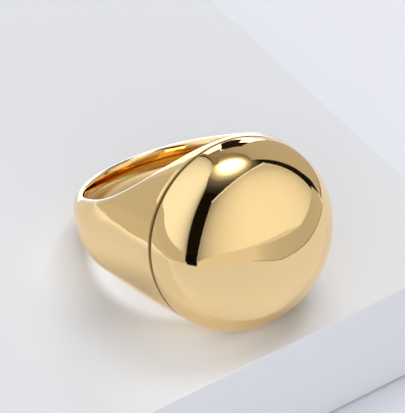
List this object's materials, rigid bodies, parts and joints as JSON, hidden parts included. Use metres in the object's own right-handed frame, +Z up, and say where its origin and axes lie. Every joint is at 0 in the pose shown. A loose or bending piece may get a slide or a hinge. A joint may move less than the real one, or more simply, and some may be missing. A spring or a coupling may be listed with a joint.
{
  "type": "dome ring",
  "caption": "Gold-coloured steel finger ring with a tapering shank that flares into a smooth round dome, lying on its side as it rests on a table.",
  "frame": {"origin": "centre of the finger hole, on its axis and midway between its two mouths", "axes": "+X level from the finger hole towards the dome, +Y across the ring, +Z up from the table that the ring lies on"},
  "size_m": [0.0262, 0.0204, 0.0177],
  "materials": {
    "gold_finish": "mirror-polished steel with a gold-coloured coating and fine wear scratches"
  },
  "bodies": {
    "root": {"shank": "gold_finish", "dome": "gold_finish"}
  },
  "joints": []
}
